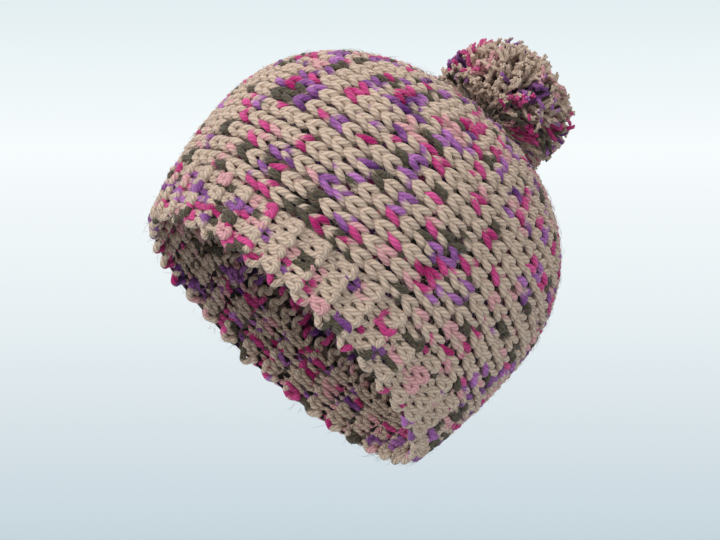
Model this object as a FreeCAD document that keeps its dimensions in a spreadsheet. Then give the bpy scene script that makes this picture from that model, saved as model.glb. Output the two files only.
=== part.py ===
import FreeCAD, Part
import Sketcher
import os

# A hand-knitted pom pom beanie, in millimetres. +Z is the crown axis, the front faces -Y, and the
# origin is the middle of the hat's footprint at the level that its brim stands on.
#
# The knitted shell is made of lofts through rings, one for each zone of the knitting: a
# garter band, a plain body and a gathered crown. The chains of stitches lie round the head, so the
# body and the crown are ribbed like stacked hoops. One more loft hollows all three zones, and all
# are narrowed from round to oval at the end. The pompom sits on a short yarn shank that comes up
# through the gathered hole and bends there.

doc = FreeCAD.newDocument("PomPomBeanie")
sizes = doc.addObject("Spreadsheet::Sheet", "Sizes")

LENGTHS = {
    # The opening, where the brim stands, and the widest ring above it.
    "brim_half_length": 101,
    "brim_set_back": 3,
    "brim_flare": 14,
    "band_share": 0.42,
    "widest_height": 80,
    "widest_half_length": 113.5,
    "width_share": 0.855,
    # The dome over the widest ring, a superellipse that ends at the gathered hole.
    "dome_height": 98,
    "dome_power": 2.2,
    "dome_end": 85.5,
    "crown_set_back": 7.5,
    # The cloth, and how deep the valleys lie between its ribs.
    "knit_thickness": 6.5,
    "rib_depth": 2,
    "yarn_radius": 1.8,
    "fit_gap": 0.3,
    # The crown's gathered hole, and the point at its middle where the pompom bends.
    "hole_radius": 8,
    "pivot_height": 175,
    # The pompom: its ball, the shallow cone under it, and the shank and tie inside it.
    "pile_radius": 36,
    "pile_height": 196,
    "pile_root": 3.8,
    "pile_slope": 0.27,
    "pile_foot": 28,
    "shank_radius": 3,
    "bead_radius": 2.3,
    "bead_height": 3.8,
    "tie_ring_radius": 5.4,
    # The yarn ends inside.
    "seam_ridge": 3.4,
    "seam_height": 143,
    "woven_height": 12,
    "woven_length": 46,
    "tail_length": 26,
}
# How many flat sides stand in for a ring's curve, and how many ribs each zone has.
RING_SIDES = 28
SKIRT_RIBS = 5
DOME_RIBS = 15
CROWN_RIBS = 7
PILE_CHORDS = 4


def fill_sheet():
    """Writes every driving dimension into the sheet, one row each: its name, then its value."""
    for row, (alias, number) in enumerate(LENGTHS.items(), start=1):
        sizes.set(f"A{row}", alias)
        sizes.set(f"B{row}", str(number))
        sizes.setAlias(f"B{row}", alias)
    doc.recompute()


def value(alias):
    """One number of the sheet, for a sketch's first shape."""
    return float(sizes.get(alias))


def add(kind, name, values, label=None):
    """Adds one object and binds its properties to expressions over the sheet's values."""
    thing = doc.addObject(kind, name)
    for prop, expression in values.items():
        thing.setExpression(prop, expression)
    if label:
        thing.Label = label
    return thing


def place(thing, x="0", y="0", z="0"):
    """Binds an object's place to expressions."""
    for axis, expression in zip("xyz", (x, y, z)):
        thing.setExpression(f"Placement.Base.{axis}", expression)


def boolean(kind, name, base, tool, label=None):
    """Adds the cut or the common of two objects."""
    thing = doc.addObject(kind, name)
    thing.Base, thing.Tool = base, tool
    if label:
        thing.Label = label
    return thing


def skirt_level(share):
    """The ring at a share of the way up from the brim to the widest ring, as expressions.

    Its half length grows as a parabola that stands upright at the widest ring.
    """
    left = f"(1 - {share})"
    bulge = f"{left} ^ 2"
    length = "Sizes.widest_half_length"
    return {
        "height": f"Sizes.widest_height * {share}",
        "half_length": f"{length} - ({length} - Sizes.brim_half_length) * {bulge}",
        "set_back": f"Sizes.brim_set_back * {bulge}",
        "lean": f"(0 - Sizes.brim_flare * {left}) * 1deg",
    }


def dome_level(share):
    """The ring at a share of the dome's arc, from the widest ring to the gathered hole.

    Its half length shrinks with height as a superellipse.
    """
    angle = f"(Sizes.dome_end * {share} * 1deg)"
    power = "(2 / Sizes.dome_power)"
    return {
        "height": f"Sizes.widest_height + Sizes.dome_height * sin({angle}) ^ {power}",
        "half_length": f"Sizes.widest_half_length * cos({angle}) ^ {power}",
        "set_back": f"Sizes.crown_set_back * sin({angle}) ^ 2",
        "lean": angle,
    }


def ribbed(level, first, last, ribs):
    """Levels with their depths: a valley at the edges of each rib and a crest in its middle."""
    steps = 2 * ribs
    for step in range(steps + 1):
        share = f"({first} + ({last} - {first}) * {step} / {steps})"
        yield level(share), "0" if step % 2 else "Sizes.rib_depth"


def ring_loft(name, levels):
    """A solid through round rings, straight from each to the next.

    Each level comes with the length by which its ring lies inwards along the cloth's normal.
    """
    loft = doc.addObject("Part::Loft", name)
    rings = []
    for number, (level, inward) in enumerate(levels):
        radius = f"{level['half_length']} - ({inward}) * cos({level['lean']})"
        ring = add("Part::RegularPolygon", f"{name}_{number}", {"Circumradius": radius})
        ring.Polygon = RING_SIDES
        height = f"{level['height']} - ({inward}) * sin({level['lean']})"
        place(ring, y=level["set_back"], z=height)
        rings.append(ring)
    loft.Sections = rings
    loft.Solid = True
    loft.Ruled = True
    return loft


def flattened(name, solid, label=None):
    """The solid narrowed across the head, which turns its round rings to ovals."""
    narrow = add("Part::Scale", name, {"XScale": "Sizes.width_share"}, label)
    narrow.Base = solid
    narrow.Uniform = False
    return narrow


def hollow(name, inward):
    """The space inside the cloth at a distance from its outer face, open below the brim."""
    levels = [skirt_level(share) for share in ("(0 - 0.12)", "0", "Sizes.band_share", "0.7")]
    levels += [dome_level(f"{step / DOME_RIBS}") for step in range(DOME_RIBS + 1)]
    return ring_loft(name, [(level, inward) for level in levels])


def shell_pieces(cavity):
    """The garter band, the ribbed body and the gathered crown, with the hole at its middle."""
    band_top = "Sizes.band_share"
    side_ribs = DOME_RIBS - CROWN_RIBS
    bend = f"{side_ribs / DOME_RIBS}"
    band = [(skirt_level("(0 - 0.02)"), "0"), (skirt_level(band_top), "Sizes.rib_depth")]
    side = list(ribbed(skirt_level, band_top, "1", SKIRT_RIBS))
    side += list(ribbed(dome_level, "0", bend, side_ribs))[1:]
    top = list(ribbed(dome_level, bend, "1", CROWN_RIBS))
    zones = [
        boolean("Part::Cut", f"{name}Shell", ring_loft(name, levels), cavity)
        for name, levels in (("Band", band), ("Body", side), ("Crown", top))
    ]
    hole = add("Part::Cylinder", "GatherHole", {"Radius": "Sizes.hole_radius"})
    hole.Height = 60
    place(hole, y="Sizes.crown_set_back", z="Sizes.pivot_height - 30")
    closed = flattened("ClosedCrown", zones[2])
    below = add("Part::Box", "BelowTheBrim", {"Height": "Sizes.knit_thickness"})
    below.Length, below.Width = 300, 300
    place(below, "-150", "-150", "-Sizes.knit_thickness")
    return [
        boolean("Part::Cut", "BrimBand", flattened("LongBand", zones[0]), below, "brim_band"),
        flattened("KnitBody", zones[1], "knit_body"),
        boolean("Part::Cut", "CrownGather", closed, hole, "crown_gather"),
    ]


def lining_pieces(cavity):
    """The seam's ridge up the inside of the back and the yarn end woven in beside it.

    Both lie on the inside of the cloth: each is what a box holds of the thin layer there.
    """
    space = flattened("Space", cavity)
    core = flattened("Core", hollow("RoundCore", "Sizes.knit_thickness + Sizes.seam_ridge"))
    across = "2 * Sizes.yarn_radius"
    side = "Sizes.yarn_radius"
    boxes = (
        ("back_seam", across, "Sizes.seam_height", f"-{side}", "2"),
        ("woven_end", "Sizes.woven_length", across, f"{side} + Sizes.fit_gap", "Sizes.woven_height"),
    )
    pieces = []
    for label, length, height, x, z in boxes:
        box = add("Part::Box", f"{label}_box", {"Length": length, "Height": height})
        box.Width = 150
        place(box, x, "0", z)
        inside = boolean("Part::Common", f"{label}_inside", space, box)
        pieces.append(boolean("Part::Cut", f"{label}_layer", inside, core, label))
    return pieces


def yarn_ring(name, radius, label=None):
    """A loop of yarn of six-sided section, swept round a twelve-sided path."""
    path = add("Part::RegularPolygon", f"{name}Path", {"Circumradius": radius})
    path.Polygon = 12
    section = add("Part::RegularPolygon", f"{name}Section", {"Circumradius": "Sizes.yarn_radius"})
    section.Polygon = 6
    section.Placement.Rotation = FreeCAD.Rotation(FreeCAD.Vector(1, 0, 0), 90)
    section.setExpression("Placement.Base.x", radius)
    ring = doc.addObject("Part::Sweep", name)
    ring.Sections = [section]
    ring.Spine = (path, [f"Edge{side + 1}" for side in range(path.Polygon)])
    ring.Solid = True
    ring.Transition = "Right corner"
    if label:
        ring.Label = label
    return ring


def gathering_piece():
    """The drawstring of yarn that pulls the crown's last loops together round the hole."""
    radius = "Sizes.hole_radius - Sizes.yarn_radius - Sizes.fit_gap"
    ring = yarn_ring("GatheringYarn", radius, "gathering_yarn")
    place(ring, y="Sizes.crown_set_back", z="Sizes.pivot_height")
    return ring


def knot_piece():
    """The knot that holds the shank's ends under the hole, with its two cut tails."""
    parts = []
    top = "Sizes.pivot_height - 7.5"
    for number, tilt in enumerate((24, -62)):
        loop = yarn_ring(f"KnotLoop{number}", "2.2 * Sizes.yarn_radius")
        loop.Placement.Rotation = FreeCAD.Rotation(FreeCAD.Vector(1, 0.3, 0), tilt)
        place(loop, y="Sizes.crown_set_back", z=f"{top} - {3 * number}")
        parts.append(loop)
    for number, turn in enumerate((35, 165)):
        tail = add(
            "Part::Prism",
            f"KnotTail{number}",
            {"Circumradius": "Sizes.yarn_radius", "Height": "Sizes.tail_length"},
        )
        tail.Polygon = 6
        tail.Placement.Rotation = FreeCAD.Rotation(turn, 118, 0)
        place(tail, y="Sizes.crown_set_back", z=f"{top} - 2")
        parts.append(tail)
    knot = doc.addObject("Part::MultiFuse", "InsideKnot")
    knot.Shapes = parts
    knot.Label = "inside_knot"
    return knot


def shank_pieces():
    """The bead of yarn in the gathered hole, and the shank that stands over it."""
    bead = add(
        "Part::Cylinder",
        "ShankBead",
        {"Radius": "Sizes.bead_radius", "Height": "Sizes.bead_height"},
        "shank_base",
    )
    place(bead, y="Sizes.crown_set_back", z="Sizes.pivot_height - Sizes.bead_height / 2")
    foot = "(Sizes.shank_radius + Sizes.fit_gap)"
    shank = add(
        "Part::Cylinder",
        "Shank",
        {
            "Radius": "Sizes.shank_radius",
            "Height": f"Sizes.pile_height + Sizes.yarn_radius - Sizes.pivot_height - {foot}",
        },
        "pompom_shank",
    )
    place(shank, y="Sizes.crown_set_back", z=f"Sizes.pivot_height + {foot}")
    return [bead, shank]


def tie_piece():
    """The wraps of yarn that bind the pompom's strands at its middle, as one flat band."""
    cylinders = [
        add(
            "Part::Cylinder",
            name,
            {
                "Radius": f"Sizes.tie_ring_radius {sign} Sizes.yarn_radius",
                "Height": "2 * Sizes.yarn_radius",
            },
        )
        for name, sign in (("TieOuter", "+"), ("TieInner", "-"))
    ]
    for cylinder in cylinders:
        place(cylinder, y="Sizes.crown_set_back", z="Sizes.pile_height - Sizes.yarn_radius")
    return boolean("Part::Cut", "PompomTie", *cylinders, "pompom_tie")


def pile_points():
    """The corners of half the pile's section, as (distance from the axis, height over the pivot).

    The underside is a shallow cone that leaves room for the pompom to nod. Above it the ball is a
    run of equal chords up to its top, and a pocket round the shank holds the tie.
    """
    bore = "(Sizes.shank_radius + Sizes.fit_gap)"
    middle = "(Sizes.pile_height - Sizes.pivot_height)"
    pocket = "(Sizes.tie_ring_radius + Sizes.yarn_radius + Sizes.fit_gap)"
    half_pocket = "(Sizes.yarn_radius + 2 * Sizes.fit_gap)"
    corners = [
        (distance, f"Sizes.pile_root + Sizes.pile_slope * {distance}")
        for distance in (bore, "Sizes.pile_foot")
    ]
    for step in range(-1, PILE_CHORDS):
        angle = f"{90 * step / PILE_CHORDS}deg"
        corners.append(
            (
                f"Sizes.pile_radius * cos({angle})",
                f"{middle} + Sizes.pile_radius * sin({angle})",
            )
        )
    return corners + [
        ("0", f"{middle} + Sizes.pile_radius"),
        ("0", f"{middle} + {half_pocket}"),
        (pocket, f"{middle} + {half_pocket}"),
        (pocket, f"{middle} - {half_pocket}"),
        (bore, f"{middle} - {half_pocket}"),
    ]


def origin_plane(body, role):
    """One of a body's own origin planes."""
    return next(plane for plane in body.Origin.OriginFeatures if plane.Role == role)


def bound_outline(sketch, corners):
    """Closes straight lines through corners, and binds each corner's place to expressions."""
    probe = doc.addObject("App::FeaturePython", "Probe")
    names = []
    for number, corner in enumerate(corners):
        for axis, expression in zip("xy", corner):
            names.append(f"{axis}{number}")
            probe.addProperty("App::PropertyFloat", names[-1])
            probe.setExpression(names[-1], expression)
    doc.recompute()
    numbers = iter([getattr(probe, name) for name in names])
    spots = [FreeCAD.Vector(x, y, 0) for x, y in zip(numbers, numbers)]
    doc.removeObject(probe.Name)
    for number, spot in enumerate(spots):
        sketch.addGeometry(Part.LineSegment(spot, spots[(number + 1) % len(spots)]))
    for number in range(len(spots)):
        following = (number + 1) % len(spots)
        sketch.addConstraint(Sketcher.Constraint("Coincident", number, 2, following, 1))
    for number, (corner, spot) in enumerate(zip(corners, spots)):
        for kind, expression, start in zip(("DistanceX", "DistanceY"), corner, spot):
            place_of = sketch.addConstraint(Sketcher.Constraint(kind, -1, 1, number, 1, start))
            sketch.setExpression(f"Constraints[{place_of}]", expression)


def pile_piece():
    """The ball of cut yarn, turned about the pompom's axis."""
    body = doc.addObject("PartDesign::Body", "Pile")
    body.Label = "pompom_pile"
    sketch = body.newObject("Sketcher::SketchObject", "PileSection")
    sketch.AttachmentSupport = [(origin_plane(body, "XZ_Plane"), "")]
    sketch.MapMode = "FlatFace"
    bound_outline(sketch, pile_points())
    turned = body.newObject("PartDesign::Revolution", "TurnedPile")
    turned.Profile = sketch
    turned.ReferenceAxis = (sketch, ["V_Axis"])
    turned.Angle = 360
    body.Tip = turned
    place(body, y="Sizes.crown_set_back", z="Sizes.pivot_height")
    return body


def check_and_write(pieces):
    """Stops on any failed object or bad solid, then writes one STEP file for each piece."""
    doc.recompute()
    failed = [thing.Name for thing in doc.Objects if {"Invalid", "Error"} & set(thing.State)]
    if failed:
        raise RuntimeError(f"failed objects: {failed}")
    os.makedirs("parts", exist_ok=True)
    for piece in pieces:
        shape = piece.Shape
        if shape.isNull() or not shape.isValid() or not shape.Solids:
            raise RuntimeError(f"{piece.Label} has no valid solid")
        box = shape.BoundBox
        print(
            f"{piece.Label}: {len(shape.Solids)} solid, {shape.Volume / 1000:.2f} cm3,"
            f" z {box.ZMin:.1f} to {box.ZMax:.1f}"
        )
        shape.exportStep(f"parts/{piece.Label}.step")


def build():
    """Fills the sheet, makes every piece and writes them."""
    fill_sheet()
    cavity = hollow("Cavity", "Sizes.knit_thickness")
    pieces = shell_pieces(cavity) + lining_pieces(cavity) + [gathering_piece(), knot_piece()]
    pieces += shank_pieces() + [tie_piece(), pile_piece()]
    check_and_write(pieces)


build()
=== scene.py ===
"""A hand-knitted pom pom beanie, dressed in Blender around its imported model.

The cloth is real knitting: one yarn tube for each row, looped through the rows beside it. The rows
run from the brim to the crown, so their chains of stitches lie round the head.
"""

import math

import bpy
import numpy as np
from bpy.props import FloatProperty, FloatVectorProperty, IntProperty, PointerProperty
from mathutils import Matrix, Vector


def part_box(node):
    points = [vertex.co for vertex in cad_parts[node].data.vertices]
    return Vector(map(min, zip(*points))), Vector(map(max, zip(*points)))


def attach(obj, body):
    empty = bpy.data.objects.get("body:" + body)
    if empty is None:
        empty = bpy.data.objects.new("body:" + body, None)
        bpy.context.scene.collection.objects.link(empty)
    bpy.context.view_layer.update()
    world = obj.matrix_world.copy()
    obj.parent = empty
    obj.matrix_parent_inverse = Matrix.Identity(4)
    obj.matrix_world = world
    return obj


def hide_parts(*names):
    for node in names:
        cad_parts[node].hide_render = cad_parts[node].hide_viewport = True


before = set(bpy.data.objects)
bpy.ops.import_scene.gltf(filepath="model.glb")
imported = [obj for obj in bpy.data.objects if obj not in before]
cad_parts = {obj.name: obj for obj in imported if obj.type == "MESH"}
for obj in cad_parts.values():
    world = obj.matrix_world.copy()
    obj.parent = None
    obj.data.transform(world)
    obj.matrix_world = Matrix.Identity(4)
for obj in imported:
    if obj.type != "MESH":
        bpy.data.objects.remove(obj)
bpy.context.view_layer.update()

bl_info = {
    "name": "Knitted Beanie",
    "version": (1, 0, 0),
    "blender": (4, 5, 0),
    "location": "View3D > Sidebar > Beanie",
    "description": "Knits a pom pom beanie row by row around its packed model",
    "category": "Add Mesh",
}

MM = 0.001
BAND_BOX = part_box("brim_band")
BODY_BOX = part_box("knit_body")
CROWN_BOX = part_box("crown_gather")
PILE_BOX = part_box("pompom_pile")
SEAM_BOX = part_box("back_seam")
WOVEN_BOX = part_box("woven_end")
RING_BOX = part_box("gathering_yarn")
KNOT_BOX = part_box("inside_knot")
SHANK_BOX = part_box("pompom_shank")
BEAD_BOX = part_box("shank_base")
AXIS_Y = (RING_BOX[0][1] + RING_BOX[1][1]) / 2


# ---------------------------------------------------------------- what a user would change


class HatSizes(bpy.types.PropertyGroup):
    """The hat's own sizes, in metres and stitches."""

    rows: IntProperty(name="Rows", description="Rows of knitting round the hat", default=72, min=12)
    band_stitches: IntProperty(
        name="Band stitches", description="Garter stitches from the brim to the body", default=4
    )
    body_stitches: IntProperty(
        name="Body stitches", description="Chains of plain stitches on the body", default=13
    )
    crown_stitches: IntProperty(
        name="Crown stitches", description="Chains of plain stitches on the gathered crown", default=7
    )
    yarn: FloatProperty(
        name="Yarn", description="Thickness of the yarn", default=4.0 * MM, unit="LENGTH"
    )
    loft: FloatProperty(
        name="Loop depth",
        description="How far a loop rises and sinks through the cloth",
        default=1.5 * MM,
        unit="LENGTH",
    )
    brim: FloatProperty(
        name="Brim half length", description="Half the brim's length", default=101 * MM, unit="LENGTH"
    )
    widest: FloatProperty(
        name="Widest height", description="Height of the widest ring", default=80 * MM, unit="LENGTH"
    )
    folds: IntProperty(name="Folds", description="Gathers round the crown", default=18)
    fold_depth: FloatProperty(
        name="Fold depth", description="Depth of the crown's gathers", default=2.2 * MM, unit="LENGTH"
    )
    strands: IntProperty(name="Strands", description="Cut strands in the pompom", default=850)
    hairs: IntProperty(name="Hairs", description="Loose fibres standing off the cloth", default=11000)


class YarnColours(bpy.types.PropertyGroup):
    """The colours that the yarn is dyed."""

    oatmeal: FloatVectorProperty(
        name="Oatmeal", description="The undyed wool", subtype="COLOR", default=(0.600, 0.430, 0.325)
    )
    magenta: FloatVectorProperty(
        name="Magenta", description="The strongest dye", subtype="COLOR", default=(0.40, 0.010, 0.115)
    )
    hot_pink: FloatVectorProperty(
        name="Hot pink",
        description="The magenta dye where it is thin",
        subtype="COLOR",
        default=(0.70, 0.085, 0.27),
    )
    violet: FloatVectorProperty(
        name="Violet", description="The purple dye", subtype="COLOR", default=(0.105, 0.020, 0.140)
    )
    lilac: FloatVectorProperty(
        name="Lilac",
        description="The purple dye where it is thin",
        subtype="COLOR",
        default=(0.47, 0.16, 0.44),
    )
    olive: FloatVectorProperty(
        name="Olive", description="The dark marl", subtype="COLOR", default=(0.045, 0.034, 0.020)
    )
    stone: FloatVectorProperty(
        name="Stone",
        description="The pale fibres in the dark marl",
        subtype="COLOR",
        default=(0.22, 0.17, 0.115),
    )
    pink: FloatVectorProperty(
        name="Pink", description="The palest dye", subtype="COLOR", default=(0.68, 0.33, 0.33)
    )


def sizes():
    """The scene's hat sizes."""
    return bpy.context.scene.hat_sizes


# ---------------------------------------------------------------- the hat's surface


POWER = 1.1  # half the superellipse's power
DOME_END = math.radians(85.5)  # where the section stops, at the gathered hole
BRIM_SET_BACK = 3 * MM  # how far the brim's middle is behind the widest ring's
CROWN_RISE = 0.4 * MM  # the dome's own top over the gathered edge's


def hat_profile():
    """The hat's half section from the brim to the gathered hole, as arrays by length of cloth.

    Below the widest ring the half length falls away as a parabola. Above it the section is a
    superellipse of power 2.2. The rows are: length of cloth, height, half length, set back, lean.
    """
    widest = sizes().widest
    top = CROWN_BOX[1][2]
    half = (BODY_BOX[1][1] - BODY_BOX[0][1]) / 2
    brim_half = sizes().brim
    low = np.linspace(-0.14, 1, 120)[:-1]
    fall = (1 - low) ** 2
    skirt = np.stack([widest * low, half - (half - brim_half) * fall, BRIM_SET_BACK * fall], axis=1)
    angle = np.linspace(0, DOME_END, 320)
    share = np.sin(angle) ** (1 / POWER)
    dome = np.stack(
        [
            widest + (top - widest + CROWN_RISE) * share,
            half * np.cos(angle) ** (1 / POWER),
            AXIS_Y * np.sin(angle) ** 2,
        ],
        axis=1,
    )
    section = np.concatenate([skirt, dome])
    step = np.hypot(np.diff(section[:, 0]), np.diff(section[:, 1]))
    length = np.concatenate([[0], np.cumsum(step)])
    length -= np.interp(0, section[:, 0], length)
    lean = np.arctan2(-np.gradient(section[:, 1]), np.gradient(section[:, 0]))
    return np.column_stack([length, section, lean]).T


def width_share():
    """How much narrower the hat is across the head than along it."""
    return (BODY_BOX[1][0] - BODY_BOX[0][0]) / (BODY_BOX[1][1] - BODY_BOX[0][1])


def on_cloth(turn, up, depth):
    """Points and outward normals at an angle round the hat, a length up it and a depth into it.

    A ring is an oval: the normal is the oval's, tipped by the section's lean.
    """
    length, height, half, back, lean = hat_profile()
    share = width_share()
    here_half, here_back = np.interp(up, length, half), np.interp(up, length, back)
    here_height, here_lean = np.interp(up, length, height), np.interp(up, length, lean)
    side = np.stack([np.cos(turn), share * np.sin(turn)], axis=-1)
    side /= np.linalg.norm(side, axis=-1, keepdims=True)
    normal = np.concatenate(
        [side * np.cos(here_lean)[..., None], np.sin(here_lean)[..., None]], axis=-1
    )
    flat = [share * here_half * np.cos(turn), here_back + here_half * np.sin(turn), here_height]
    return np.stack(flat, axis=-1) - depth[..., None] * normal, normal


def cloth_length():
    """Length of cloth from the brim to the gathered hole."""
    return hat_profile()[0][-1]


def zone_edges():
    """Lengths up the cloth of the band's top and of the crown's lower edge."""
    s = sizes()
    length, height = hat_profile()[:2]
    band_top = float(np.interp(BAND_BOX[1][2], height, length))
    stitch = (cloth_length() - band_top) / (s.body_stitches + s.crown_stitches)
    return band_top, band_top + stitch * s.body_stitches


# ---------------------------------------------------------------- tubes and meshes


def smooth_path(knots, steps):
    """A curve through knots (tubes, knots, values): a Catmull-Rom spline, cut into equal steps."""
    first = 2 * knots[:, :1] - knots[:, 1:2]
    last = 2 * knots[:, -1:] - knots[:, -2:-1]
    p = np.concatenate([first, knots, last], axis=1)
    a, b, c, d = p[:, :-3], p[:, 1:-2], p[:, 2:-1], p[:, 3:]
    t = (np.arange(steps) / steps)[None, None, :, None]
    a, b, c, d = (x[:, :, None, :] for x in (a, b, c, d))
    square, cube = 2 * a - 5 * b + 4 * c - d, 3 * b - a - 3 * c + d
    curve = 0.5 * (2 * b + (c - a) * t + square * t**2 + cube * t**3)
    curve = curve.reshape(len(knots), -1, knots.shape[-1])
    return np.concatenate([curve, knots[:, -1:]], axis=1)


def unit(vectors):
    """Vectors at length one."""
    return vectors / np.maximum(np.linalg.norm(vectors, axis=-1, keepdims=True), 1e-12)


def tubes(paths, outward, radius, sides):
    """Rings of points round paths (tubes, rings, 3).

    Each ring is a circle across the path, and its first corner points outward.
    """
    along = unit(np.gradient(paths, axis=1))
    across = unit(np.cross(along, outward))
    lift = np.cross(across, along)
    angle = 2 * np.pi * np.arange(sides) / sides
    circle = (
        np.cos(angle)[:, None] * lift[:, :, None, :] + np.sin(angle)[:, None] * across[:, :, None, :]
    )
    return paths[:, :, None, :] + radius[:, :, None, None] * circle


def tube_faces(count, rings, sides):
    """Quads of count tubes, as corner numbers, and the two end fans' triangles with their hubs."""
    tube = np.arange(count)[:, None, None] * rings * sides
    ring = np.arange(rings - 1)[None, :, None] * sides
    side = np.arange(sides)[None, None, :]
    after = (side + 1) % sides
    a, b = tube + ring + side, tube + ring + after
    quads = np.stack([a, a + sides, b + sides, b], axis=-1).reshape(-1, 4)
    hub = count * rings * sides + np.arange(count)[:, None] * 2
    first = np.arange(count)[:, None] * rings * sides + np.arange(sides)[None, :]
    first_next = np.arange(count)[:, None] * rings * sides + (np.arange(sides)[None, :] + 1) % sides
    tail = (rings - 1) * sides
    start = np.stack(np.broadcast_arrays(hub, first, first_next), axis=-1)
    end = np.stack(np.broadcast_arrays(hub + 1, first_next + tail, first + tail), axis=-1)
    return quads, np.concatenate([start.reshape(-1, 3), end.reshape(-1, 3)])


def run_along(paths):
    """The length from each path's start to each of its points."""
    step = np.linalg.norm(np.diff(paths, axis=1), axis=-1)
    return np.concatenate([np.zeros((len(paths), 1)), np.cumsum(step, axis=1)], axis=1)


def new_piece(name, points, quads, fans, body, material, maps=None, dye=None):
    """Makes one closed smooth mesh that rides on a body, with its own map and dye."""
    mesh = bpy.data.meshes.new(name)
    mesh.vertices.add(len(points))
    mesh.vertices.foreach_set("co", points.astype(np.float32).ravel())
    corners = np.concatenate([quads.ravel(), fans.ravel()]).astype(np.int32)
    starts = np.concatenate(
        [np.arange(len(quads)) * 4, len(quads) * 4 + np.arange(len(fans)) * 3]
    ).astype(np.int32)
    mesh.loops.add(len(corners))
    mesh.loops.foreach_set("vertex_index", corners)
    mesh.polygons.add(len(starts))
    mesh.polygons.foreach_set("loop_start", starts)
    mesh.polygons.foreach_set("use_smooth", np.ones(len(starts), bool))
    mesh.update(calc_edges=True)
    if maps is not None:
        layer = mesh.uv_layers.new(name="yarn")
        layer.data.foreach_set("uv", maps.astype(np.float32).ravel())
    if dye is not None:
        colours = mesh.color_attributes.new("dye", "FLOAT_COLOR", "POINT")
        colours.data.foreach_set("color", dye.astype(np.float32).ravel())
    mesh.materials.append(material)
    piece = bpy.data.objects.new(name, mesh)
    bpy.context.collection.objects.link(piece)
    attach(piece, body)
    return piece


def yarn_piece(name, paths, outward, radius, sides, along, dye, body, material):
    """One piece of many yarn tubes. Its map runs along the yarn in metres and once round it."""
    count, rings = paths.shape[:2]
    walls = tubes(paths, outward, radius, sides)
    hubs = np.stack([paths[:, 0], paths[:, -1]], axis=1)
    points = np.concatenate([walls.reshape(-1, 3), hubs.reshape(-1, 3)])
    quads, fans = tube_faces(count, rings, sides)
    round_it = np.arange(sides) / sides
    low, high = along[:, :-1, None], along[:, 1:, None]
    near = np.broadcast_to(round_it, (count, rings - 1, sides))
    far = near + 1 / sides
    low, high = np.broadcast_to(low, near.shape), np.broadcast_to(high, near.shape)
    quad_map = np.stack([low, near, high, near, high, far, low, far], axis=-1).reshape(-1, 2)
    ends = np.stack([along[:, 0], along[:, -1]])[:, :, None]
    fan_map = np.stack(
        [np.broadcast_to(ends, (2, count, sides)), np.broadcast_to(round_it, (2, count, sides))], axis=-1
    )
    fan_map = np.repeat(fan_map.reshape(-1, 2), 3, axis=0)
    ring_dye = np.broadcast_to(dye[:, :, None, :], (count, rings, sides, 4)).reshape(-1, 4)
    hub_dye = np.stack([dye[:, 0], dye[:, -1]], axis=1).reshape(-1, 4)
    return new_piece(
        name,
        points,
        quads,
        fans,
        body,
        material,
        np.concatenate([quad_map, fan_map]),
        np.concatenate([ring_dye, hub_dye]),
    )


# ---------------------------------------------------------------- dye

# The chances that a run of yarn is oatmeal, magenta, violet, olive or pink.
DYE_CHANCES = (0.43, 0.17, 0.16, 0.11, 0.13)
RUN = 33 * MM  # about the length of a run
BLEED = 6 * MM  # how far one dye fades into the next
LOOP = 40 * MM  # the yarn in one stitch, as a round figure for placing the dye


def dyed(seed, along):
    """How much of each dye the yarn holds at lengths along it, one seed for each tube.

    Each yarn is a row of runs of uneven length. A run has one dye, which bleeds a little into the
    next. The four values are magenta, violet, olive and pink, and the rest is oatmeal.
    """
    weights = np.zeros(along.shape + (4,))
    for row, number in enumerate(seed):
        chance = np.random.default_rng(1000 + int(number))
        reach = float(along[row].max()) + 3 * RUN
        kinds, edges, at = [], [], -2 * RUN * chance.random()
        while at < reach:
            kind = chance.choice(5, p=DYE_CHANCES)
            kinds.append(kind)
            edges.append(at)
            at += RUN * (0.45 + 0.9 * chance.random()) * (1.45 if kind == 0 else 0.95)
        edges.append(at)
        for kind, low, high in zip(kinds, edges, edges[1:]):
            if kind:
                rise = np.clip((along[row] - low) / BLEED, 0, 1)
                fall = np.clip((high - along[row]) / BLEED, 0, 1)
                weights[row, :, kind - 1] = np.maximum(weights[row, :, kind - 1], rise * fall)
    return weights


# ---------------------------------------------------------------- stitches

KNOT_STEPS = 3  # the tube's rings from one knot to the next

# One stitch's path, from the middle of one link to the middle of the next. Each knot is its place
# across the chain, along the chain and through the cloth (1 is the outer face), then its thickness.
PLAIN_HALF = (
    (-0.50, -0.04, -1.00, 0.86),
    (-0.27, -0.12, -0.95, 0.84),
    (-0.075, 0.12, 0.20, 0.82),
    (-0.165, 0.50, 1.00, 1.06),
    (-0.265, 0.92, 0.95, 1.06),
    (-0.285, 1.20, -0.10, 0.88),
    (0.00, 1.40, -1.00, 0.84),
)
GARTER_HALF = (
    (-0.50, -0.04, -0.95, 1.14),
    (-0.30, -0.04, -0.80, 1.08),
    (-0.14, 0.16, -0.10, 1.02),
    (-0.20, 0.48, 0.45, 1.10),
    (-0.30, 0.86, 0.95, 1.18),
    (-0.18, 1.06, 1.25, 1.22),
    (0.00, 1.08, 1.30, 1.22),
)


def whole_stitch(half):
    """A stitch's knots from its first half. The second half mirrors it, without its last knot."""
    first = np.array(half)
    second = first[-2:0:-1] * (-1, 1, 1, 1)
    return np.concatenate([first, second])


def drift(turn, up):
    """How far the chains wander up or down, a sum of three slow waves."""
    return MM * (
        1.1 * np.sin(2 * turn + 18 * up + 0.4)
        + 0.8 * np.sin(5 * turn - 31 * up + 2.1)
        + 0.45 * np.sin(11 * turn + 60 * up + 4.0)
    )


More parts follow.
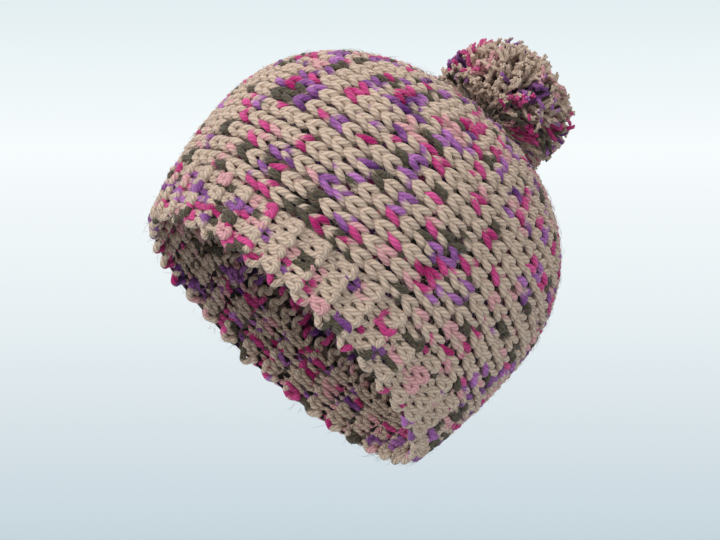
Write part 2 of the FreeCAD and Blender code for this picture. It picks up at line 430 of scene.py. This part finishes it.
def row_knots(rows, first, last, stitches, half, purl_rows, seed):
    """The knots of some rows' yarn through one zone, as (rows, knots, 4).

    The values are: row position, length up the cloth, depth share and thickness share.
    """
    stitch = whole_stitch(half)
    count = len(stitch)
    wide = (last - first) / stitches
    chance = np.random.default_rng(seed)
    knots = np.zeros((len(rows), stitches * count + 1, 4))
    number = np.arange(stitches * count + 1)
    knot, chain = number % count, number // count
    scatter = chance.normal(0, 1, knots.shape)
    lean = chance.normal(0, 1, (len(rows), stitches + 1))[:, chain]
    knots[..., 1] = first + wide * (chain + 0.5 + stitch[knot, 0] + 0.03 * scatter[..., 1])
    knots[..., 0] = rows[:, None] + stitch[knot, 1] + 0.035 * scatter[..., 0] + 0.05 * lean
    turned = np.where(purl_rows & (rows % 2 == 1), -1, 1)[:, None]
    knots[..., 2] = turned * stitch[knot, 2] + 0.12 * scatter[..., 2]
    knots[..., 3] = stitch[knot, 3] * (1 + 0.05 * scatter[..., 3])
    # The rows meet the next zone at the middle of a link, on the inner side.
    knots[:, -1, 1], knots[:, 0, 1] = last, first
    for end in (0, -1):
        knots[:, end, 0] = rows - 0.04
        knots[:, end, 2] = -1
    return knots


def lay_rows(knots):
    """Turns rows' knots into paths on the hat, with outward normals and radii."""
    s = sizes()
    curve = smooth_path(knots, KNOT_STEPS)
    turn = math.pi / 2 + 2 * math.pi * curve[..., 0] / s.rows
    up = curve[..., 1]
    length, _, half = hat_profile()[:3]
    # Rows crowd together as the ring shrinks, and squeeze the yarn to about half at the hole.
    crowd = np.clip(np.interp(up, length, half) / half.max(), 0.12, 1)
    radius = s.yarn / 2 * curve[..., 3] * crowd**0.35
    gather = np.clip((up - 0.62 * length[-1]) / (0.3 * length[-1]), 0, 1) ** 1.5
    fold = gather * s.fold_depth * (1 - np.cos(s.folds * turn))
    depth = s.yarn / 2 + s.loft * (1 - curve[..., 2]) + fold
    paths, outward = on_cloth(turn, up + drift(turn, up) * np.clip(up / 0.03, 0, 1), depth)
    return paths, outward, radius


def knit_plain(name, parts, first, last, stitches, done, sides):
    """Knits a zone of plain stitches in several pieces, each of them some of the rows.

    done is how many stitches the yarn has made already, and it places the dye.
    """
    count = sizes().rows
    yarn = material_of("plied wool", yarn_material)
    for part in range(parts):
        rows = np.arange(count * part // parts, count * (part + 1) // parts)
        seed = 7 + int(rows[0]) + done
        knots = row_knots(rows, first, last, stitches, PLAIN_HALF, False, seed)
        paths, outward, radius = lay_rows(knots)
        share = np.linspace(0, stitches, paths.shape[1])
        along = np.broadcast_to((done + share) * LOOP, paths.shape[:2])
        dye = dyed(rows, along)
        title = f"{name}_{part + 1}"
        yarn_piece(title, paths, outward, radius, sides, along, dye, "hat", yarn)


# ---------------------------------------------------------------- materials

PLIES = 5.0  # the ridges round the yarn, which look like its plies
TWIST = 15 * MM  # the yarn's length in one turn of them


class Nodes:
    """A short way to build a material's nodes."""

    def __init__(self, name):
        self.material = bpy.data.materials.new(name)
        self.material.use_nodes = True
        self.tree = self.material.node_tree
        self.shader = self.tree.nodes["Principled BSDF"]

    def add(self, kind, settings=(), **inputs):
        """Adds a node, sets it up and gives its inputs values or links."""
        node = self.tree.nodes.new(kind)
        for key, setting in dict(settings).items():
            setattr(node, key, setting)
        for key, given in inputs.items():
            self.give(node, int(key[1:]) if key[1:].isdigit() else key.replace("_", " "), given)
        return node

    def give(self, node, socket, given):
        """Gives one input a value or a link."""
        if isinstance(given, bpy.types.NodeSocket):
            self.tree.links.new(given, node.inputs[socket])
        else:
            node.inputs[socket].default_value = given

    def math(self, operation, a, b=0.0, c=0.0):
        """One sum."""
        return self.add("ShaderNodeMath", {"operation": operation}, _0=a, _1=b, _2=c).outputs[0]

    def mix(self, factor, a, b, blend="MIX"):
        """One colour over another."""
        node = self.add("ShaderNodeMix", {"data_type": "RGBA", "blend_type": blend})
        self.give(node, 0, factor)
        self.give(node, 6, a)
        self.give(node, 7, b)
        return node.outputs[2]

    def noise(self, vector, scale, detail=2.0):
        """A soft random pattern, from 0 to 1."""
        node = self.add("ShaderNodeTexNoise", {}, Vector=vector, Scale=scale, Detail=detail)
        return node.outputs[0]


def rgba(colour, gain=1.0):
    """A colour with its alpha, made lighter or darker."""
    return tuple(min(1.0, part * gain) for part in colour) + (1.0,)


def yarn_material(name, gain=1.0):
    """Plied wool: oatmeal under four dyes, painted shade in the grooves between the plies, and fine
    fibres.

    The dyes come from the piece's own dye, and each edge of a run is broken up by the plies. The
    plies are waves round the yarn that turn as they run along it.
    """
    colours = bpy.context.scene.yarn_colours
    n = Nodes(name)
    place = n.add("ShaderNodeUVMap", {"uv_map": "yarn"}).outputs[0]
    split = n.add("ShaderNodeSeparateXYZ", {}, Vector=place)
    run, round_it = split.outputs[0], split.outputs[1]
    twist = n.math("MULTIPLY_ADD", run, 1 / TWIST, round_it)
    plies = n.math("MULTIPLY", twist, PLIES)
    ridge = n.math("ABSOLUTE", n.math("SINE", n.math("MULTIPLY", plies, math.pi)))
    which = n.math("FLOOR", plies)
    ply_noise = n.add("ShaderNodeTexWhiteNoise", {"noise_dimensions": "1D"}, W=which).outputs[0]
    fibre_place = n.add("ShaderNodeCombineXYZ", {})
    n.give(fibre_place, 0, n.math("MULTIPLY", run, 450.0))
    n.give(fibre_place, 1, n.math("MULTIPLY", n.math("FRACT", plies), 5.0))
    n.give(fibre_place, 2, n.math("MULTIPLY", which, 3.7))
    fibres = n.noise(fibre_place.outputs[0], 1.6, 3.0)
    object_place = n.add("ShaderNodeTexCoord").outputs["Object"]
    cloud = n.noise(object_place, 60.0, 3.0)
    speck = n.noise(object_place, 900.0, 2.0)
    dye = n.add("ShaderNodeAttribute", {"attribute_name": "dye"})
    parts = n.add("ShaderNodeSeparateColor", {}, Color=dye.outputs["Color"])
    amounts = [parts.outputs[0], parts.outputs[1], parts.outputs[2], dye.outputs["Alpha"]]
    colour = n.mix(cloud, rgba(colours.oatmeal, 0.86), rgba(colours.oatmeal, 1.12))
    patch = n.math("MULTIPLY_ADD", cloud, 3.4, -1.2)
    shades = (
        (patch, colours.magenta, colours.hot_pink),
        (patch, colours.violet, colours.lilac),
        (n.math("MULTIPLY_ADD", fibres, 2.0, -0.75), colours.olive, colours.stone),
        (patch, colours.pink, colours.pink),
    )
    breakup = n.math("MULTIPLY_ADD", ply_noise, 0.42, n.math("MULTIPLY_ADD", speck, 0.5, -0.46))
    for amount, (blend, low, high) in zip(amounts, shades):
        within = n.add("ShaderNodeClamp", {}, Value=blend).outputs[0]
        shade = n.mix(within, rgba(low), rgba(high))
        edge = n.math("MULTIPLY_ADD", n.math("ADD", amount, breakup), 2.0, -0.5)
        clamped = n.add("ShaderNodeClamp", {}, Value=edge).outputs[0]
        kept = n.math("MULTIPLY", clamped, n.math("GREATER_THAN", amount, 0.02))
        colour = n.mix(kept, colour, shade)
    # Painted shade: the colour darkens in the grooves between the plies. The fibres' streaks are the
    # wool's own tone.
    painted_groove_shade = n.math("MULTIPLY_ADD", n.math("POWER", ridge, 0.7), 0.44 * gain, 0.56 * gain)
    streak = n.math("MULTIPLY_ADD", fibres, 0.5, 0.75)
    shade = n.math("MULTIPLY", painted_groove_shade, streak)
    tone = n.add("ShaderNodeCombineColor", {}, Red=shade, Green=shade, Blue=shade).outputs[0]
    colour = n.mix(1.0, colour, tone, "MULTIPLY")
    n.give(n.shader, "Base Color", colour)
    height = n.math("MULTIPLY_ADD", fibres, 0.45, ridge)
    bump = n.add("ShaderNodeBump", {}, Height=height, Strength=0.75, Distance=0.45 * MM)
    n.give(n.shader, "Normal", bump.outputs[0])
    n.give(n.shader, "Roughness", 0.92)
    n.give(n.shader, "Specular IOR Level", 0.18)
    n.give(n.shader, "Sheen Weight", 0.16)
    n.give(n.shader, "Sheen Roughness", 0.45)
    return n.material


def felt_material(name, gain):
    """Matted fibres: patches of every dye, by place on the object, made lighter or darker by gain. At a
    low gain it is painted shade, for the sheet through the cloth and the pompom's heart.
    """
    colours = bpy.context.scene.yarn_colours
    n = Nodes(name)
    place = n.add("ShaderNodeTexCoord").outputs["Object"]
    cells = n.add("ShaderNodeTexVoronoi", {}, Vector=place, Scale=230.0)
    pick = n.add("ShaderNodeSeparateColor", {}, Color=cells.outputs["Color"])
    ramp = n.add("ShaderNodeValToRGB", {}, Fac=pick.outputs[0])
    ramp.color_ramp.interpolation = "CONSTANT"
    stops = (
        (0.0, colours.oatmeal),
        (0.45, colours.olive),
        (0.74, colours.magenta),
        (0.82, colours.violet),
        (0.92, colours.pink),
    )
    for at, tint in stops:
        stop = ramp.color_ramp.elements[0] if at == 0 else ramp.color_ramp.elements.new(at)
        stop.color = rgba(tint, gain)
    ramp.color_ramp.elements.remove(ramp.color_ramp.elements[-1])
    fuzz = n.noise(place, 1400.0, 3.0)
    tone = n.math("MULTIPLY_ADD", fuzz, 0.9, 0.45)
    grey = n.add("ShaderNodeCombineColor", {}, Red=tone, Green=tone, Blue=tone).outputs[0]
    n.give(n.shader, "Base Color", n.mix(1.0, ramp.outputs[0], grey, "MULTIPLY"))
    bump = n.add("ShaderNodeBump", {}, Height=fuzz, Strength=0.6, Distance=0.4 * MM)
    n.give(n.shader, "Normal", bump.outputs[0])
    n.give(n.shader, "Roughness", 0.95)
    n.give(n.shader, "Specular IOR Level", 0.1)
    n.give(n.shader, "Sheen Weight", 0.3)
    return n.material


def material_of(name, make, *given):
    """A material by name, made the first time that it is asked for."""
    return bpy.data.materials.get(name) or make(name, *given)


# ---------------------------------------------------------------- operators


class BEANIE_OT_stage(bpy.types.Operator):
    """Sets the floor, the backdrop, the lamps and the camera"""

    bl_idname = "beanie.stage"
    bl_label = "Stage"

    def execute(self, context):
        back, right, up = view_axes()
        # The view looks up from below the brim, so the floor lies well under the hat.
        floor_at, reach = -0.45, 8.0
        corners = [(reach * x, reach * y, floor_at) for x, y in ((-1, -1), (1, -1), (1, 1), (-1, 1))]
        mesh = bpy.data.meshes.new("floor")
        mesh.from_pydata(corners, [], [(0, 1, 2, 3)])
        pale = Nodes("pale floor")
        pale.give(pale.shader, "Base Color", (0.80, 0.85, 0.88, 1))
        pale.give(pale.shader, "Roughness", 0.8)
        mesh.materials.append(pale.material)
        context.scene.view_settings.view_transform = "Standard"
        floor = bpy.data.objects.new("floor", mesh)
        context.collection.objects.link(floor)
        aim_at(context, back, right, up)
        light(context, "key", 1.0 * back + 1.0 * up - 1.05 * right, 0.9, 17.0)
        light(context, "fill", 1.4 * back + 0.3 * right - 0.3 * up, 1.2, 2.5)
        light(context, "top", 1.5 * up + 0.2 * right - 0.1 * back, 1.0, 6.0)
        sky(context, up)
        return {"FINISHED"}


VIEW_AZIMUTH, VIEW_ELEVATION, VIEW_ROLL = 80.5, -17.25, 41.9
VIEW_DISTANCE = 1.5
VIEW_TARGET = Vector((0, 0.003, 0.085))
VIEW_LENS = 131.6
VIEW_LEFT, VIEW_DOWN = 9.35 * MM, 19.4 * MM  # where the view's middle is from the target


def view_axes():
    """The camera's backward, rightward and upward directions."""
    azimuth, elevation, roll = (math.radians(x) for x in (VIEW_AZIMUTH, VIEW_ELEVATION, VIEW_ROLL))
    back = Vector(
        (
            math.sin(azimuth) * math.cos(elevation),
            -math.cos(azimuth) * math.cos(elevation),
            math.sin(elevation),
        )
    )
    level_right = Vector((0, 0, 1)).cross(back).normalized()
    level_up = back.cross(level_right)
    right = math.cos(roll) * level_right + math.sin(roll) * level_up
    up = -math.sin(roll) * level_right + math.cos(roll) * level_up
    return back, right, up


def aim_at(context, back, right, up):
    """A long lens on the hat, which sits a little right of the middle and above it."""
    data = bpy.data.cameras.new("camera")
    data.sensor_width = 36
    data.lens = VIEW_LENS
    data.clip_end = 50
    camera = bpy.data.objects.new("camera", data)
    context.collection.objects.link(camera)
    target = VIEW_TARGET - VIEW_LEFT * right - VIEW_DOWN * up
    turned = Matrix((right, up, back)).transposed().to_4x4()
    camera.matrix_world = Matrix.Translation(target + VIEW_DISTANCE * back) @ turned
    context.scene.camera = camera


def light(context, name, place, size, power):
    """A square soft lamp that faces the hat."""
    data = bpy.data.lights.new(name, "AREA")
    data.shape = "SQUARE"
    data.size = size
    data.energy = power
    lamp = bpy.data.objects.new(name, data)
    context.collection.objects.link(lamp)
    lamp.location = VIEW_TARGET + place
    lamp.rotation_euler = (-place).to_track_quat("-Z", "Y").to_euler()


def sky(context, up):
    """A pale blue backdrop that is whitest a little above the middle of the view."""
    world = bpy.data.worlds.new("sky")
    context.scene.world = world
    world.use_nodes = True
    tree = world.node_tree
    place = tree.nodes.new("ShaderNodeTexCoord")
    rise = tree.nodes.new("ShaderNodeVectorMath")
    rise.operation = "DOT_PRODUCT"
    rise.inputs[1].default_value = up
    tree.links.new(place.outputs["Generated"], rise.inputs[0])
    span = tree.nodes.new("ShaderNodeMapRange")
    span.inputs["From Min"].default_value = -0.105
    span.inputs["From Max"].default_value = 0.105
    tree.links.new(rise.outputs["Value"], span.inputs["Value"])
    ramp = tree.nodes.new("ShaderNodeValToRGB")
    stops = ramp.color_ramp.elements
    stops[0].color = (0.56, 0.66, 0.72, 1)
    stops[1].color = (0.76, 0.85, 0.88, 1)
    for at, tint in ((0.45, (0.82, 0.88, 0.905, 1)), (0.72, (0.93, 0.975, 0.985, 1))):
        stop = stops.new(at)
        stop.color = tint
    tree.links.new(span.outputs[0], ramp.inputs[0])
    tree.links.new(ramp.outputs[0], tree.nodes["Background"].inputs["Color"])
    tree.nodes["Background"].inputs["Strength"].default_value = 1.0


class BEANIE_OT_cloth(bpy.types.Operator):
    """Makes a thin dark sheet through the middle of the knitting, painted shade that shows between the
    stitches
    """

    bl_idname = "beanie.cloth"
    bl_label = "Cloth"

    def execute(self, context):
        round_count, up_count = 144, 90
        turn = 2 * math.pi * np.arange(round_count) / round_count
        up = np.linspace(1.5 * MM, cloth_length() - 1.0 * MM, up_count)
        # The sheet is the surface at two depths, joined at the brim and at the hole.
        loop = np.concatenate([up, up[::-1]])
        depth = np.concatenate([np.full(up_count, 3.5 * MM), np.full(up_count, 4.2 * MM)])
        turns, ups = np.meshgrid(turn, loop)
        depths = np.broadcast_to(depth[:, None], turns.shape)
        points = on_cloth(turns, ups, depths)[0].reshape(-1, 3)
        i = np.arange(len(loop))[:, None] * round_count
        j = np.arange(round_count)[None, :]
        after_i = (np.arange(len(loop))[:, None] + 1) % len(loop) * round_count
        after_j = (j + 1) % round_count
        quads = np.stack([i + j, i + after_j, after_i + after_j, after_i + j], axis=-1).reshape(-1, 4)
        # The sheet's very dark wool is painted shade: the yarn's dye colours, darkened where the gaps
        # between stitches look into the hat.
        painted_shade_felt = material_of("wool sheet in painted shade", felt_material, 0.22)
        fans = np.zeros((0, 3), int)
        piece = new_piece("painted_shade_sheet", points, quads, fans, "hat", painted_shade_felt)
        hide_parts("brim_band", "knit_body", "crown_gather")
        return {"FINISHED"}


class BEANIE_OT_band(bpy.types.Operator):
    """Knits the garter stitch band and the loops along its edge"""

    bl_idname = "beanie.band"
    bl_label = "Brim band"

    def execute(self, context):
        s = sizes()
        band_top = zone_edges()[0]
        edge = 2.5 * MM
        rows = np.arange(s.rows)
        knots = row_knots(rows, edge, band_top, s.band_stitches, GARTER_HALF, True, 3)
        # Where two rows turn at the brim, each reaches half way to the other in a hanging loop.
        chance = np.random.default_rng(5)
        to_partner = np.where(rows % 2 == 1, 1, -1)
        hang = np.repeat(chance.random(s.rows // 2 + 1), 2)[1 : s.rows + 1]
        turns = np.zeros((s.rows, 3, 4))
        for knot, (aside, low) in enumerate(((0.5, 0.9), (0.34, 1.1), (0.12, 1.9))):
            turns[:, knot, 0] = rows + aside * to_partner
            turns[:, knot, 1] = MM * (low - 2.6 * hang**3 * (knot < 2))
            turns[:, knot, 2] = 0.1 - 0.25 * knot
            turns[:, knot, 3] = 1.08
        knots = np.concatenate([turns, knots], axis=1)
        paths, outward, radius = lay_rows(knots)
        share = np.linspace(0, s.band_stitches, paths.shape[1])
        along = np.broadcast_to(share * LOOP, paths.shape[:2])
        yarn = material_of("plied wool", yarn_material)
        yarn_piece("band_rows", paths, outward, radius, 8, along, dyed(rows, along), "hat", yarn)
        return {"FINISHED"}


class BEANIE_OT_body(bpy.types.Operator):
    """Knits the plain body"""

    bl_idname = "beanie.body"
    bl_label = "Body"

    def execute(self, context):
        s = sizes()
        band_top, crown_edge = zone_edges()
        knit_plain("body_rows", 4, band_top, crown_edge, s.body_stitches, s.band_stitches, 10)
        return {"FINISHED"}


class BEANIE_OT_crown(bpy.types.Operator):
    """Knits the crown, whose rows crowd together towards the gathered hole"""

    bl_idname = "beanie.crown"
    bl_label = "Crown"

    def execute(self, context):
        s = sizes()
        done = s.band_stitches + s.body_stitches
        knit_plain("crown_rows", 2, zone_edges()[1], cloth_length(), s.crown_stitches, done, 8)
        return {"FINISHED"}


INNER_FACE = 6.6 * MM  # the knitting's inner face, as a depth
SEAM_STITCH = 7.5 * MM  # how far the seam's yarn climbs in one turn


def plain_tube(name, path, radius, sides, seed, body, material, outward=(0, 0, 1)):
    """One yarn along one path or several of equal length, with its own run of dye."""
    paths = path if path.ndim == 3 else path[None]
    outwards = np.broadcast_to(np.array(outward, float), paths.shape)
    radii = np.broadcast_to(radius, paths.shape[:2])
    along = run_along(paths)
    seeds = seed + np.arange(len(paths))
    return yarn_piece(
        name, paths, outwards, radii, sides, along, dyed(seeds, along), body, material
    )


class BEANIE_OT_lining(bpy.types.Operator):
    """Sews the seam up the inside of the back and weaves in the yarn's end beside it"""

    bl_idname = "beanie.lining"
    bl_label = "Seam and woven end"

    def execute(self, context):
        yarn = material_of("plied wool", yarn_material)
        thick = sizes().yarn / 2
        length, height, half = hat_profile()[:3]
        # The seam's yarn whips over the two edges: it winds round the seam's line as it climbs.
        top = float(np.interp(SEAM_BOX[1][2], height, length))
        up = np.linspace(3 * MM, top, 700)
        wind = 2 * math.pi * up / SEAM_STITCH
        aside = 2.0 * MM * np.cos(wind) / np.interp(up, length, half)
        depth = INNER_FACE + 1.7 * MM + 1.2 * MM * np.sin(wind)
        path = on_cloth(math.pi / 2 + aside, up, depth)[0]
        seam = plain_tube("seam_yarn", path, 0.75 * thick, 8, 300, "hat", yarn, (0, -1, 0.1))
        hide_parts("back_seam")
        # The end dips in and out of the loops' backs as it runs away from the seam.
        share = np.linspace(0, 1, 160)
        level = (WOVEN_BOX[0][2] + WOVEN_BOX[1][2]) / 2
        reach = math.acos(WOVEN_BOX[1][0] / (width_share() * (sizes().brim - INNER_FACE)))
        turn = math.pi / 2 - 0.03 - share * (math.pi / 2 - reach - 0.03)
        wave = 2 * math.pi * share * 5.5
        weave = level + 1.6 * MM * np.sin(wave / 2)
        path = on_cloth(turn, weave, INNER_FACE + MM * (0.8 + 1.1 * np.cos(wave)))[0]
        woven = plain_tube("woven_yarn", path, 0.8 * thick, 8, 310, "hat", yarn)
        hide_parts("woven_end")
        return {"FINISHED"}


class BEANIE_OT_gathering(bpy.types.Operator):
    """Draws the crown in with a ring of yarn, and knots the pompom's yarn under it"""

    bl_idname = "beanie.gathering"
    bl_label = "Gathering yarn and knot"

    def execute(self, context):
        yarn = material_of("plied wool", yarn_material)
        thick = sizes().yarn / 2
        turn = np.linspace(0, 2 * math.pi, 240)
        ring_at = (RING_BOX[0][2] + RING_BOX[1][2]) / 2
        reach = (RING_BOX[1][0] - RING_BOX[0][0]) / 2 - thick + 0.8 * MM * np.sin(9 * turn)
        lift = ring_at + 0.9 * MM * np.cos(18 * turn)
        path = np.stack([reach * np.cos(turn), AXIS_Y + reach * np.sin(turn), lift], axis=-1)
        ring = plain_tube("gathering_ring", path, 0.8 * thick, 8, 320, "hat", yarn)
        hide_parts("gathering_yarn")
        # The knot is a trefoil, and its two tails hang down from it and splay.
        middle = KNOT_BOX[1][2] - 5.5 * MM
        loop = np.linspace(0, 2 * math.pi, 90)
        trefoil = np.stack(
            [
                1.35 * MM * (np.sin(loop) + 2 * np.sin(2 * loop)),
                AXIS_Y + 1.35 * MM * (np.cos(loop) - 2 * np.cos(2 * loop)),
                middle - 1.9 * MM * np.sin(3 * loop),
            ],
            axis=-1,
        )
        drop = np.linspace(0, 1, 90)
        fall = middle - (middle - KNOT_BOX[0][2] - 1.5 * MM) * drop
        tails = [
            np.stack(
                [
                    side * MM * (1.5 + 5.0 * drop**2 + 0.8 * np.sin(9 * drop + side)),
                    AXIS_Y + MM * (1.2 * np.sin(7 * drop + 2 * side)),
                    fall,
                ],
                axis=-1,
            )
            for side in (-1, 1)
        ]
        paths = np.stack([trefoil, *tails])
        knot = plain_tube("knot_yarn", paths, 0.8 * thick, 8, 330, "hat", yarn, (0.2, 1, 0.3))
        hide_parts("inside_knot")
        return {"FINISHED"}


def scattered_directions(count, chance):
    """Directions spread evenly over a sphere along a spiral, then scattered a little."""
    number = np.arange(count) + 0.5
    height = 1 - 2 * number / count
    turn = math.pi * (1 + 5**0.5) * number
    level = np.sqrt(1 - height**2)
    even = np.stack([level * np.cos(turn), level * np.sin(turn), height], axis=-1)
    return unit(even + chance.normal(0, 0.035, even.shape))


STRAND_RINGS = 11  # the tube's rings along one strand
LEAN = math.radians(10)  # how far the pompom nods and sways, which its underside clears
PILE_GAP = 2.5 * MM  # from the crown to the pile, on the pompom's axis
PILE_WIDTH = 1.16  # the pile's half width over its half height
PLY_TWIST = 12 * MM  # a strand's length in one turn of its plies
HEART = 0.66  # the dark middle's size over the pile's


def pile_size():
    """The pompom's middle, its half width and its half height."""
    high = (PILE_BOX[1][0] - PILE_BOX[0][0]) / 2
    return np.array([0, AXIS_Y, PILE_BOX[1][2] - high]), PILE_WIDTH * high, high


def lowest_pile(aside):
    """The lowest that the pile may hang at a distance from its axis.

    It is the crown's height there, a small gap, and what that place sinks when the pompom leans.
    """
    _, height, half = hat_profile()[:3]
    upper = len(half) // 2
    crown = np.interp(aside, half[::-1][:upper], height[::-1][:upper])
    return crown + PILE_GAP + aside * math.sin(LEAN)


def cut_strands(count, chance):
    """The pompom's strands: paths from its middle to its face, with two directions across each.

    A strand runs outwards, crinkles more and more, and its end curls over to one side. The ends
    near the underside are lifted clear of the crown.
    """
    centre, wide, high = pile_size()
    out = scattered_directions(count, chance)
    across = unit(np.cross(out, chance.normal(0, 1, out.shape)))
    beside = np.cross(out, across)
    share = np.linspace(0, 1, STRAND_RINGS)[None, :, None]
    face = 1 / np.sqrt((out[:, 0] ** 2 + out[:, 1] ** 2) / wide**2 + out[:, 2] ** 2 / high**2)
    reach = (face * (1 + chance.normal(0, 0.03, count)))[:, None, None]
    start = 0.34 * reach
    curl = (MM * (1.5 + 8.5 * chance.random(count)))[:, None, None]
    path = out[:, None] * (start + (reach - start - 0.30 * curl * share**4) * share)
    for direction, waves in ((across, 1.9), (beside, 1.5)):
        phase = (2 * math.pi * chance.random(count))[:, None, None]
        speed = (waves + chance.normal(0, 0.3, count))[:, None, None]
        swing = np.sin(2 * math.pi * speed * share + phase) - np.sin(phase)
        path = path + direction[:, None] * 1.7 * MM * share**0.8 * swing
    path = centre + path + across[:, None] * curl * share**3
    aside = np.hypot(path[..., 0], path[..., 1] - AXIS_Y)
    floor = lowest_pile(aside) + (3.5 * MM * chance.random(count))[:, None]
    path[..., 2] = np.maximum(path[..., 2], np.minimum(floor, centre[2] - 0.1 * high))
    return path, across, beside, out


class BEANIE_OT_pompom(bpy.types.Operator):
    """Makes the pompom: a dark heart of painted shade, and cut strands of three plies that fray at their
    ends
    """

    bl_idname = "beanie.pompom"
    bl_label = "Pompom"

    def execute(self, context):
        s = sizes()
        chance = np.random.default_rng(77)
        yarn = material_of("cut wool", yarn_material, 1.12)
        paths, across, beside, out = cut_strands(s.strands, chance)
        share = np.linspace(0, 1, STRAND_RINGS)[None, :]
        along = run_along(paths)
        # Neighbours were wound from the same stretch of yarn, so clumps of strands share their dye.
        clumps = scattered_directions(110, chance)
        clump = np.argmax(out @ clumps.T + chance.normal(0, 0.015, (len(out), len(clumps))), axis=1)
        shift = along + (0.2 * chance.random(len(clumps)))[clump][:, None]
        dye = dyed(5000 + clump, shift)
        fray = np.clip((share - 0.78) / 0.22, 0, 1) ** 1.5 * 0.9 * chance.random((s.strands, 1))
        spread = 0.66 * MM * (1 + fray)
        thick = np.broadcast_to(0.92 * MM * (1 - 0.25 * share**8), paths.shape[:2])
        for ply in range(3):
            stray = chance.normal(0, 0.2, (s.strands, 1)) * share
            turn = (2 * math.pi * (ply / 3 + along / PLY_TWIST) + stray)[..., None]
            offset = np.cos(turn) * across[:, None] + np.sin(turn) * beside[:, None]
            ply_paths = paths + spread[..., None] * offset
            outward = np.broadcast_to(across[:, None], paths.shape)
            piece = yarn_piece(
                f"pile_ply_{ply + 1}", ply_paths, outward, thick, 5, along, dye, "pompom", yarn
            )
            if ply == 0:
                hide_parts("pompom_pile")
        self.heart()
        return {"FINISHED"}

    def heart(self):
        """A dark ball, painted shade that shows between the strands."""
        centre, wide, high = pile_size()
        count, sides = 30, 44
        angle = np.linspace(-0.47 * math.pi, 0.47 * math.pi, count)
        ball = HEART * wide * np.cos(angle)
        rings = np.zeros((count, 3))
        rings[:, 1] = AXIS_Y
        # The underside is flattened, and its rings keep a hair's breadth apart.
        underside = lowest_pile(ball) + 4 * MM + 0.02 * MM * np.arange(count)
        rings[:, 2] = np.maximum(centre[2] + HEART * high * np.sin(angle), underside)
        # The heart's very dark wool is painted shade deep among the strands.
        painted_shade_felt = material_of("pompom heart in painted shade", felt_material, 0.30)
        outward = np.broadcast_to([1.0, 0, 0], (1, count, 3))
        walls = tubes(rings[None], outward, ball[None], sides)
        points = np.concatenate([walls.reshape(-1, 3), rings[:1], rings[-1:]])
        quads, fans = tube_faces(1, count, sides)
        new_piece("pile_heart", points, quads, fans, "pompom", painted_shade_felt)


class BEANIE_OT_shank(bpy.types.Operator):
    """Gives the pompom's shank, its bend and its tie their wool"""

    bl_idname = "beanie.shank"
    bl_label = "Shank and tie"

    def execute(self, context):
        wool = material_of("shank wool", felt_material, 0.9)
        for node in ("shank_base", "pompom_shank", "pompom_tie"):
            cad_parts[node].data.materials.clear()
            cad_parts[node].data.materials.append(wool)
        return {"FINISHED"}


FUZZ_CLEAR = 45 * MM  # the cloth under the pompom that has no loose fibres


class BEANIE_OT_fuzz(bpy.types.Operator):
    """Lets loose fibres stand off the knitting"""

    bl_idname = "beanie.fuzz"
    bl_label = "Fuzz"

    def execute(self, context):
        count = sizes().hairs
        chance = np.random.default_rng(21)
        length, _, half = hat_profile()[:3]
        fair = chance.random(6 * count) * (length[-1] - FUZZ_CLEAR)
        keep = chance.random(6 * count) < np.interp(fair, length, half) / half.max()
        up = fair[keep][:count]
        turn = 2 * math.pi * chance.random(count)
        root, normal = on_cloth(turn, up, chance.random(count) * 2.2 * MM + 0.3 * MM)
        aside = unit(np.cross(normal, chance.normal(0, 1, normal.shape)))
        share = np.linspace(0, 1, 5)[None, :, None]
        reach = (MM * (2.0 + 4.5 * chance.random(count)))[:, None, None]
        rise = (0.25 + 0.5 * chance.random(count))[:, None, None]
        bend = unit(np.cross(normal, aside))[:, None] * (chance.normal(0, 0.5, count))[:, None, None]
        paths = root[:, None] + reach * (
            share * (normal[:, None] * rise + aside[:, None]) + share**2 * (bend - 0.3 * normal[:, None])
        )
        outward = np.broadcast_to(normal[:, None], paths.shape)
        thick = 0.085 * MM * (1 - 0.5 * share[..., 0]) * np.ones((count, 1))
        along = np.broadcast_to(share[..., 0] * 4 * MM, (count, 5))
        dye = dyed(9000 + np.arange(count) % 400, along + 0.2 * chance.random((count, 1)))
        hair = material_of("loose fibres", yarn_material, 1.15)
        yarn_piece("loose_fibres", paths, outward, thick, 3, along, dye, "hat", hair)
        cloth_length()
        return {"FINISHED"}


class BEANIE_PT_tools(bpy.types.Panel):
    """Lists the beanie's steps"""

    bl_idname = "BEANIE_PT_tools"
    bl_label = "Beanie"
    bl_space_type = "VIEW_3D"
    bl_region_type = "UI"
    bl_category = "Beanie"

    def draw(self, context):
        for step in STEPS:
            self.layout.operator(step.bl_idname)


STEPS = (
    BEANIE_OT_stage,
    BEANIE_OT_cloth,
    BEANIE_OT_band,
    BEANIE_OT_body,
    BEANIE_OT_crown,
    BEANIE_OT_lining,
    BEANIE_OT_gathering,
    BEANIE_OT_pompom,
    BEANIE_OT_shank,
    BEANIE_OT_fuzz,
)
CLASSES = (HatSizes, YarnColours, *STEPS, BEANIE_PT_tools)


def register():
    """Adds the classes and the scene's settings."""
    for kind in CLASSES:
        bpy.utils.register_class(kind)
    bpy.types.Scene.hat_sizes = PointerProperty(type=HatSizes)
    bpy.types.Scene.yarn_colours = PointerProperty(type=YarnColours)


def unregister():
    """Takes them away again."""
    del bpy.types.Scene.yarn_colours
    del bpy.types.Scene.hat_sizes
    for kind in reversed(CLASSES):
        bpy.utils.unregister_class(kind)


def main():
    """Runs every step in order."""
    register()
    for step in STEPS:
        group, name = step.bl_idname.split(".")
        getattr(getattr(bpy.ops, group), name)()


if __name__ == "__main__":
    main()
